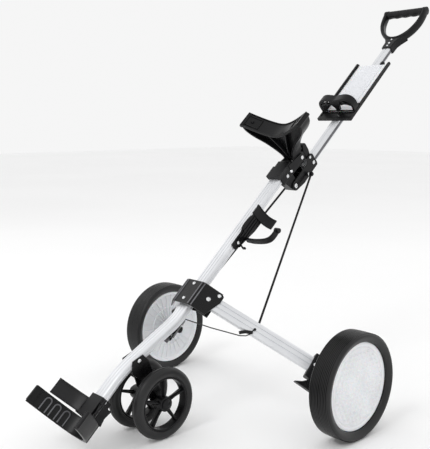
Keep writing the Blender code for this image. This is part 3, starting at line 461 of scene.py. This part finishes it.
def small_wheel(side, label):
    body = f"front_wheel_{label}"
    at = wheel_frame(SMALL_X, AXLE_Y - SMALL_AHEAD, SMALL_RADIUS, side)
    w, radius = SMALL_HALF_WIDTH, SMALL_RADIUS
    half = [(0.0602, 0.0100), (0.0606, 0.0112), (0.0625, 0.0118), (0.0665, 0.0128), (0.0695, w), (0.0725, 0.0126),
            (0.0752, 0.0112), (0.0772, 0.0090)]
    for i in (2, 1):
        x = 0.0034 * i
        half += [(0.0786, x + 0.0009), (0.0790, x), (0.0782, x - 0.0007)]
    half += [(radius - 0.0003, 0.0018), (radius, 0.0008)]
    shape = bmesh.new()
    lathe(shape, half + [(r, -x) for r, x in half[::-1]], 112)
    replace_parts(piece(f"small_tyre_skin_{label}", shape, RUBBER_TYRE, body, at), f"small_tyre_{label}")

    shape = bmesh.new()
    lathe(shape, [(0.0600, 0.0108), (0.0592, 0.0114), (0.0568, 0.0114), (0.0556, 0.0104), (0.0548, 0.0),
                  (0.0556, -0.0104), (0.0568, -0.0114), (0.0592, -0.0114), (0.0600, -0.0108)], 112)
    lathe(shape, [(0.0045, 0.0125), (0.0150, 0.0125), (0.0165, 0.0110), (0.0175, 0.0), (0.0165, -0.0110),
                  (0.0150, -0.0125), (0.0045, -0.0125)], 48)
    for i in range(5):
        spoke = bmesh.new()
        turn = Matrix.Rotation(2 * math.pi * i / 5 + math.pi / 2, 4, "X")
        add_prism(spoke, [(0.0130, -0.0062), (0.0220, -0.0042), (0.0500, -0.0030), (0.0562, -0.0060),
                          (0.0562, 0.0060), (0.0500, 0.0030), (0.0220, 0.0042), (0.0130, 0.0062)], -0.0022, 0.0022,
                  lambda r, t, x: (x, r, t))
        add_prism(spoke, [(0.0150, -0.0075), (0.0300, -0.0062), (0.0560, -0.0085), (0.0560, 0.0085),
                          (0.0300, 0.0062), (0.0150, 0.0075)], -0.0014, 0.0014, lambda r, x, t: (x, r, t))
        spoke.transform(turn)
        mesh = bpy.data.meshes.new("spoke")
        spoke.to_mesh(mesh)
        spoke.free()
        shape.from_mesh(mesh)
        bpy.data.meshes.remove(mesh)
    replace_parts(piece(f"small_rim_skin_{label}", shape, MOULDED, body, at, 0.0006), f"small_rim_{label}")


# ------------------------------------------------------------------ cradles
def cradle_line(half, low, rise, flat, steps=14, power=1.8):
    points = []
    for i in range(-steps, steps + 1):
        x = half * i / steps
        out = max(0.0, (abs(x) - flat) / (half - flat))
        points.append((x, low + rise * out ** power))
    return points


def lipped_saddle(shape, line, thickness, low, high, lip=0.0024, edge=0.0028):
    """A bent plate with a raised lip along both its edges and across its ends."""
    add_prism(shape, strip(line, thickness), low, high, across)
    inner = offset_line(line, thickness / 2 + lip / 2 - 0.0003)
    for a, b in ((low, low + edge), (high - edge, high)):
        add_prism(shape, strip(inner, lip + 0.0006), a, b, across)
    for end in (inner[:2], inner[-2:]):
        add_prism(shape, strip(end, lip + 0.0006), low, high, across)


def upper_cradle():
    line = cradle_line(0.098, 0.086, 0.040, 0.006, power=1.35)
    shape = bmesh.new()
    lipped_saddle(shape, line, 0.0050, 0.423, 0.469)
    # Side flanges run from the horns down to the bolt, with a recessed wall between them.
    flank = smooth_line([(0.0145, 0.008), (0.0165, 0.020), (0.0280, 0.038), (0.0500, 0.062), (0.0760, 0.083),
                         (0.0920, 0.102), (0.0975, 0.119)], 5)
    for side in (-1, 1):
        add_prism(shape, strip([(side * p[0], p[1]) for p in flank], 0.0040), 0.4260, 0.4660, across)
        # The horn's end is a thick rounded ear.
        add_round(shape, (side * 0.0975, 0.4235, 0.1222), (side * 0.0975, 0.4685, 0.1222), 0.0046, 24)
    inside = [p for p in line if abs(p[0]) < 0.090]
    wall = [(-p[0], p[1]) for p in flank[:-4]] + inside + [(p[0], p[1]) for p in flank[:-4]][::-1]
    add_prism(shape, wall, 0.4400, 0.4520, across)
    for side in (-1, 1):
        rib = [(side * 0.0050, 0.010), (side * 0.0100, 0.040), (side * 0.0320, 0.0925)]
        add_prism(shape, strip(smooth_line(rib, 4), 0.0034), 0.4285, 0.4630, across)
    add_prism(shape, [(0.4385, 0.028), (0.4375, -0.007)] + arc((0.4485, -0.007), 0.0110, 180, 360, 12)
              + [(0.4590, 0.028)], -0.0164, 0.0164, sideways)
    made = piece("upper_cradle_skin", shape, MOULDED, "frame", TUBE, 0.0009)
    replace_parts(made, "bag_cradle")
    inner = offset_line(line, 0.0034)
    for side in (-1, 1):
        # A raised frame and a boss on the inner face of each horn.
        horn = sorted((p for p in inner if 0.052 < p[0] * side < 0.094), key=lambda p: abs(p[0]))
        low, high = 0.4310, 0.4610
        loop = ([(x, low, n) for x, n in horn] + [(x, high, n) for x, n in horn[::-1]]
                + [(horn[0][0], low, horn[0][1])])
        wire(f"horn_frame_{side + 1}", loop, 0.0013, MOULDED, "frame", TUBE, 3, False)
        foot = Vector(horn[len(horn) // 2])
        lean = (Vector(horn[-1]) - Vector(horn[0])).normalized()
        normal = Vector((-lean[1] * side, lean[0] * side))
        tip = foot + normal * 0.0024
        shape = bmesh.new()
        add_round(shape, (foot[0], 0.446, foot[1]), (tip[0], 0.446, tip[1]), 0.0048, 24, 0.0034)
        piece(f"horn_boss_{side + 1}", shape, MOULDED, "frame", TUBE, 0.0005)


def walk(line, distance):
    """The point a distance along a line."""
    for here, after in zip(line, line[1:]):
        step = (Vector(after) - Vector(here)).length
        if distance <= step:
            return Vector(here).lerp(Vector(after), distance / step)
        distance -= step
    return Vector(line[-1])


def base_cradle():
    low, high = -0.426, -0.386
    line = cradle_line(0.0975, 0.027, 0.0968, 0.012)
    shape = bmesh.new()
    lipped_saddle(shape, line, 0.0056, low, high)
    for side in (-1, 1):
        add_round(shape, (side * 0.0968, low + 0.003, 0.1218), (side * 0.0968, high - 0.001, 0.1218), 0.0036, 20)
    add_box(shape, (-0.028, -0.425, 0.0235), (0.028, -0.352, 0.0290))
    add_box(shape, (-0.0195, -0.384, 0.0240), (0.0195, -0.333, 0.0540))
    add_box(shape, (-0.0120, -0.3900, 0.0300), (0.0120, -0.3800, 0.0440))
    for side in (-1, 1):
        pad = smooth_line([(side * 0.0180, 0.040), (side * 0.0250, 0.049), (side * 0.0420, 0.0595),
                           (side * 0.0640, 0.0770), (side * 0.0860, 0.0960)], 4)
        add_prism(shape, strip(pad, 0.0036), -0.382, -0.345, across)
        for s in (-0.3815, -0.3480):
            add_prism(shape, strip(offset_line(pad, 0.0026 * side), 0.0022), s, s + 0.0025, across)
        # Ribs that cross under the pads.
        add_prism(shape, [(side * 0.020, -0.384), (side * 0.024, -0.384), (side * 0.034, -0.347),
                          (side * 0.030, -0.347)][::side], 0.024, 0.052)
        add_prism(shape, [(side * 0.030, -0.384), (side * 0.034, -0.384), (side * 0.024, -0.347),
                          (side * 0.020, -0.347)][::side], 0.024, 0.052)
    made = piece("base_cradle_skin", shape, MOULDED, "frame", TUBE, 0.0009)
    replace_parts(made, "base_cradle")
    # Three arched ridges on the inner face of each horn, coloured lighter grey as painted highlights.
    for side in (-1, 1):
        face = sorted((p for p in offset_line(line, 0.0036) if p[0] * side > 0.030), key=lambda p: abs(p[0]))
        half, crest, foot = 0.0072, -0.3990, low + 0.0030
        for i in range(3):
            middle = 0.0200 + 0.0240 * i
            route = [(middle - half, foot)]
            route += [(middle - half * math.cos(math.radians(a)), crest + half * math.sin(math.radians(a)))
                      for a in range(0, 181, 15)]
            route.append((middle + half, foot))
            points = []
            for distance, s in route:
                x, n = walk(face, distance)
                points.append((x, s, n))
            wire(f"base_arch_{side + 1}_{i}", points, 0.0015, PAINTED_SHADE_AND_HIGHLIGHT, "frame", TUBE, 3, False)


# ------------------------------------------------------------------ bottle holder
def bottle_holder():
    outline = smooth_line([(0.130, 0.0120), (0.150, 0.0122), (0.173, 0.0124), (0.187, 0.0185), (0.213, 0.0178),
                           (0.232, 0.0128), (0.2575, 0.0182)], 3)
    outline = [tuple(p) for p in outline] + [(0.2575, -0.0245), (0.204, -0.0222), (0.166, -0.0152),
                                             (0.150, -0.0123), (0.130, -0.0058)]
    shape = bmesh.new()
    add_prism(shape, outline[::-1], TUBE_WIDTH / 2 + 0.0003, 0.0200, sideways)
    rest = smooth_line([(0.0190, 0.0170), (0.0200, 0.0), (0.0250, -0.0200), (0.0340, -0.0320),
                        (0.0455, -0.0385)], 4)
    add_prism(shape, strip(rest, 0.0042), 0.2292, 0.2568, across)
    add_prism(shape, strip(rest, 0.0062), 0.2540, 0.2570, across)
    # Raised ribs and a bright-edged pad on the end of the rest.
    for n in (-0.0100, -0.0020, 0.0060):
        add_box(shape, (0.0190, 0.1420, n - 0.0012), (0.0222, 0.2280, n + 0.0012))
    add_box(shape, (0.0190, 0.1600, -0.0115), (0.0218, 0.1630, 0.0110))
    add_round(shape, (0.0190, 0.1800, 0.0060), (0.0228, 0.1800, 0.0060), 0.0040, 20)
    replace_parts(piece("bottle_holder_skin", shape, MOULDED, "frame", TUBE, 0.0006), "cup_holder_base")
    shape = bmesh.new()
    arm = smooth_line([(0.0222, 0.1690), (0.0450, 0.1680), (0.0700, 0.1710), (0.0870, 0.1770), (0.0945, 0.1880),
                       (0.0950, 0.2100)], 5)
    add_prism(shape, strip(arm, 0.0048), -0.0200, -0.0060)
    add_prism(shape, strip(arm, 0.0030), -0.0215, -0.0045)
    add_round(shape, (0.0880, 0.2100, -0.0130), (0.1015, 0.2100, -0.0130), 0.0062, 24)
    add_prism(shape, strip([(0.0190, 0.1500), (0.0300, 0.1430), (0.0380, 0.1440)], 0.0040), -0.0160, -0.0100)
    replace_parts(piece("bottle_arm_skin", shape, MOULDED, "frame", TUBE, 0.0007), "cup_holder_arm")


# ------------------------------------------------------------------ handle and panel
def d_handle():
    bow = [(0.0, 0.0100), (0.0220, 0.0150), (0.0440, 0.0330), (0.0590, 0.0600), (GRIP_HALF, 0.0860),
           (GRIP_HALF, GRIP_BAR_UP + 0.0040)]
    line = smooth_line([(-x, y) for x, y in bow[:0:-1]] + bow, 5)
    shape = bmesh.new()
    sides = 16
    rings = []
    for i, point in enumerate(line):
        ahead = (line[min(i + 1, len(line) - 1)] - line[max(i - 1, 0)]).normalized()
        out = Vector((-ahead[1], ahead[0]))
        ring = []
        for k in range(sides):
            angle = 2 * math.pi * k / sides
            c, s = math.cos(angle), math.sin(angle)
            wide = math.copysign(abs(c) ** 0.75, c) * 0.0062
            deep = math.copysign(abs(s) ** 0.75, s) * 0.0122
            ring.append(shape.verts.new((point[0] + out[0] * wide, point[1] + out[1] * wide, deep)))
        rings.append(ring)
    for near, far in zip(rings, rings[1:]):
        for k in range(sides):
            j = (k + 1) % sides
            shape.faces.new((near[k], near[j], far[j], far[k]))
    shape.faces.new(rings[0][::-1])
    shape.faces.new(rings[-1])
    for side in (-1, 1):
        add_round(shape, (side * (GRIP_HALF - 0.006), GRIP_BAR_UP + 0.001, 0),
                  (side * (GRIP_HALF + 0.0052), GRIP_BAR_UP + 0.001, 0), 0.0118, 32)
    frame_skin = piece("d_frame_skin", shape, MOULDED, "handle", GRIP)
    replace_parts(frame_skin, "handle_frame", "grip_bar")
    shape = bmesh.new()
    half_neck = [(0.0158, 0.5500), (0.0170, 0.5760), (0.0240, 0.5900), (0.0380, 0.6080), (0.0250, 0.6080),
                 (0.0100, 0.6000)]
    add_prism(shape, half_neck + [(-x, s) for x, s in half_neck[::-1]], HANDLE_DROP - 0.0118, HANDLE_DROP + 0.0118)
    piece("d_neck_skin", shape, MOULDED, "handle", HANDLE, 0.0028)
    shape = bmesh.new()
    for s in (0.5600, 0.5880):
        add_round(shape, (0, s, HANDLE_DROP + 0.0116), (0, s, HANDLE_DROP + 0.0132), 0.0030, 20, 0.0022)
    piece("neck_studs", shape, ZINC, "handle", HANDLE, 0.0003)
    # Dark grey strips on the tube's sides: painted shade standing in for the shaded side faces.
    shape = bmesh.new()
    for side in (-1, 1):
        low, high = sorted((side * (HANDLE_WIDTH / 2 - 0.0018), side * (HANDLE_WIDTH / 2 + 0.00015)))
        add_box(shape, (low, 0.104, HANDLE_DROP - 0.0042), (high, 0.5495, HANDLE_DROP + 0.0042))
    piece("handle_side_painted_shade", shape, PAINTED_SHADE_AND_HIGHLIGHT, "handle", HANDLE, 0.0003)
    # A black knob on the tube's side, just above the panel.
    shape = bmesh.new()
    add_round(shape, (HANDLE_WIDTH / 2 - 0.0005, 0.4920, HANDLE_DROP),
              (HANDLE_WIDTH / 2 + 0.0070, 0.4920, HANDLE_DROP),
              0.0056, 24)
    piece("panel_knob", shape, MOULDED, "handle", HANDLE, 0.0012)
    # Grip sleeve with four finger hollows.
    half = GRIP_HALF - 0.0062
    steps = 64
    outline = ([(0.0004, -half)] + [(0.0114, -half + 2 * half * i / steps) for i in range(steps + 1)]
               + [(0.0004, half)])
    shape = bmesh.new()
    lathe(shape, outline, 40)
    for corner in shape.verts:
        hollow = 0.5 - 0.5 * math.cos(math.pi * 4 * (corner.co.x / half + 1))
        if corner.co.y < 0 and abs(corner.co.x) < half - 0.0002:
            corner.co.y *= 1.10 - 0.26 * hollow
    sleeve = piece("grip_sleeve_skin", shape, GRIP_RUBBER, "handle",
                   GRIP @ Matrix.Translation((0, GRIP_BAR_UP, 0)))
    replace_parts(sleeve, "grip_sleeve")


def hood():
    """Mask over the panel's lower end: an arched rim, a post that widens upwards and slanting bars."""
    base = BOARD_UP + 0.0083
    side_line = [(-0.0530, base), (-0.0545, base + 0.012), (-0.0530, base + 0.024), (-0.0460, base + 0.034),
                 (-0.0320, base + 0.0392), (-0.0140, base + 0.0375)]
    line = smooth_line(side_line + [(0.0, base + 0.0350)] + [(-x, y) for x, y in side_line[::-1]], 4)
    shape = bmesh.new()
    add_prism(shape, strip(line, 0.0044), 0.268, 0.290, across)
    add_prism(shape, strip(offset_line(line, -0.0022), 0.0046), 0.268, 0.2725, across)
    post = [(0.0050, base + 0.0002), (0.0070, base + 0.0100), (0.0150, base + 0.0220), (0.0190, base + 0.0365)]
    add_prism(shape, post + [(-x, y) for x, y in post[::-1]], 0.2690, 0.2780, across)
    for side in (-1, 1):
        bar = [(side * 0.0130, base + 0.0215), (side * 0.0330, base + 0.0240), (side * 0.0525, base + 0.0180)]
        add_prism(shape, strip(smooth_line(bar, 4), 0.0056), 0.2690, 0.2760, across)
        add_prism(shape, strip([(side * 0.0200, base + 0.0360), (side * 0.0330, base + 0.0260)], 0.0060), 0.2690,
                  0.2760, across)
        add_box(shape, (min(side * 0.0490, side * 0.0540), 0.266, base), (max(side * 0.0490, side * 0.0540), 0.300,
                                                                         base + 0.0030))
    add_box(shape, (-0.0540, 0.266, base), (0.0540, 0.2710, base + 0.0030))
    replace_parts(piece("ball_hood_skin", shape, MOULDED, "handle", HANDLE, 0.0010), "ball_hood")


def panel():
    """Trim round the card, a rivet, and a clear cover over it."""
    top = BOARD_UP + 0.0034
    shape = bmesh.new()
    add_box(shape, (-0.0500, PANEL_LOW + 0.0098, BOARD_UP + 0.0020), (0.0500, 0.2690, BOARD_UP + 0.0062))
    for side in (-1, 1):
        low, high = sorted((side * 0.0475, side * 0.0510))
        add_box(shape, (low, PANEL_LOW + 0.004, BOARD_UP + 0.0020), (high, PANEL_HIGH - 0.0006, BOARD_UP + 0.0062))
    piece("panel_trim", shape, MOULDED, "handle", HANDLE, 0.0006)
    shape = bmesh.new()
    add_round(shape, (0.0100, 0.2500, BOARD_UP + 0.0060), (0.0100, 0.2500, BOARD_UP + 0.0076), 0.0028, 20, 0.0020)
    piece("panel_rivet", shape, ZINC, "handle", HANDLE, 0.0003)
    shape = bmesh.new()
    add_box(shape, (-0.0470, PANEL_LOW + 0.066, top), (0.0470, PANEL_HIGH - 0.006, top + 0.0008))
    clear = bpy.data.materials.new("clear_cover")
    clear.use_nodes = True
    shader = clear.node_tree.nodes["Principled BSDF"]
    nodes, links = clear.node_tree.nodes, clear.node_tree.links
    place = nodes.new("ShaderNodeTexCoord").outputs["Object"]
    links.new(ramp(nodes, links, noise(nodes, links, place, 60.0), 0.3, 0.7, 0.10, 0.22),
              shader.inputs["Roughness"])
    links.new(mix_colour(nodes, links, noise(nodes, links, place, 20.0), (0.90, 0.91, 0.93), (0.96, 0.97, 0.98)),
              shader.inputs["Base Color"])
    shader.inputs["Alpha"].default_value = 0.14
    piece("clear_cover", shape, clear, "handle", HANDLE, 0.0003)


def small_fittings():
    """Second collar bolt, and on each leg the wire's clip and the tie rod's end."""
    # Ridges where the leg clamp's plate folds down, coloured lighter grey as a painted highlight on the folds.
    shape = bmesh.new()
    for x, n in ((0.0225, 0.0206), (0.0310, 0.0180)):
        for side in (-1, 1):
            add_round(shape, (side * x, -0.0545, n), (side * x, 0.0075, n), 0.0017, 16)
    piece("clamp_ridges_painted_highlight", shape, PAINTED_SHADE_AND_HIGHLIGHT, "frame", TUBE, 0.0004)
    shape = bmesh.new()
    for side in (-1, 1):
        add_round(shape, (side * 0.0190, 0.3960, -0.0050), (side * 0.0216, 0.3960, -0.0050), 0.0044, 24, 0.0034)
    piece("collar_bolt_heads", shape, ZINC, "frame", TUBE, 0.0003)
    for side, label in ((1, "left"), (-1, "right")):
        body, at = f"leg_{label}", leg_frame(side)
        top = side * (LEG_DEPTH / 2 + 0.0004)
        clip = [(0.1240, -0.0120, top), (0.1120, -0.0178, top * 1.06), (0.1040, -0.0230, top * 0.9),
                (0.0990, -0.0270, top * 0.5)]
        wire(f"wire_clip_{label}", clip, 0.0040, PAINTED, body, at)
        shape = bmesh.new()
        add_round(shape, (0.1250, -0.0030, top * 0.9), (0.1250, -0.0030, top + side * 0.0022), 0.0030, 20)
        piece(f"rod_end_{label}", shape, PAINTED, body, at, 0.0005)


# ------------------------------------------------------------------ finishes on the frame's own nodes
def dress_nodes():
    by_slot = {"moulded_black": MOULDED, "painted_steel": PAINTED, "silver_tube": SILVER_TUBE, "zinc_steel": ZINC,
               "tyre_rubber": RUBBER_TYRE, "white_plastic": WHITE, "grip_rubber": GRIP_RUBBER, "card": CARD}
    slots = {part["node"]: part["material_slot"] for part in frame["record"]["subparts"]}
    for name, node in frame["nodes"].items():
        for slot in node.material_slots:
            slot.material = by_slot[slots[name]]


# ------------------------------------------------------------------ stage, light and camera
def stage():
    shape = bmesh.new()
    add_box(shape, (-14, -14, -0.02), (14, 14, 0.0))
    mesh = bpy.data.meshes.new("floor")
    shape.to_mesh(mesh)
    shape.free()
    floor = bpy.data.objects.new("floor", mesh)
    bpy.context.scene.collection.objects.link(floor)
    pale = finish("pale_floor", (0.94, 0.94, 0.94), (0.96, 0.96, 0.96), (0.8, 0.9), patch=0.6, grain=40.0)
    mesh.materials.append(pale)
    world = bpy.data.worlds.new("studio")
    bpy.context.scene.world = world
    world.use_nodes = True
    world.node_tree.nodes["Background"].inputs["Color"].default_value = (1.0, 1.0, 1.0, 1.0)
    world.node_tree.nodes["Background"].inputs["Strength"].default_value = 0.92
    for name, place, size, energy in (("key", (0.4, -3.0, 3.2), 1.2, 30.0), ("fill", (-2.8, -0.6, 2.0), 1.6, 6.0),
                                      ("back", (0.4, 3.0, 2.6), 1.6, 8.0)):
        light = bpy.data.lights.new(name, "AREA")
        light.energy = energy
        light.size = size
        lamp = bpy.data.objects.new(name, light)
        bpy.context.scene.collection.objects.link(lamp)
        lamp.location = place
        aim = Vector((0, 0, 0.4)) - Vector(place)
        lamp.rotation_euler = aim.to_track_quat("-Z", "Y").to_euler()


def camera():
    """Three-quarter view from the front left of the object, a little above."""
    data = bpy.data.cameras.new("camera")
    data.sensor_width = 36.0
    data.lens = 58.2
    data.clip_end = 50
    data.shift_x = -0.0028
    eye = bpy.data.objects.new("camera", data)
    bpy.context.scene.collection.objects.link(eye)
    right = Vector((0.6808, 0.7325, 0.0)).normalized()
    forward = Vector((-0.7254, 0.6742, -0.1389)).normalized()
    up = right.cross(forward)
    turn = Matrix((right, up, -forward)).transposed().to_4x4()
    eye.matrix_world = Matrix.Translation((1.2396, -1.2583 + AXLE_Y, 0.6892)) @ turn
    bpy.context.scene.camera = eye
    bpy.context.scene.view_settings.view_transform = "Standard"


camera()
tubes()
for wheel_side, wheel_label in ((1, "left"), (-1, "right")):
    big_wheel(wheel_side, wheel_label)
    small_wheel(wheel_side, wheel_label)
upper_cradle()
base_cradle()
bottle_holder()
d_handle()
hood()
panel()
small_fittings()
dress_nodes()
stage()
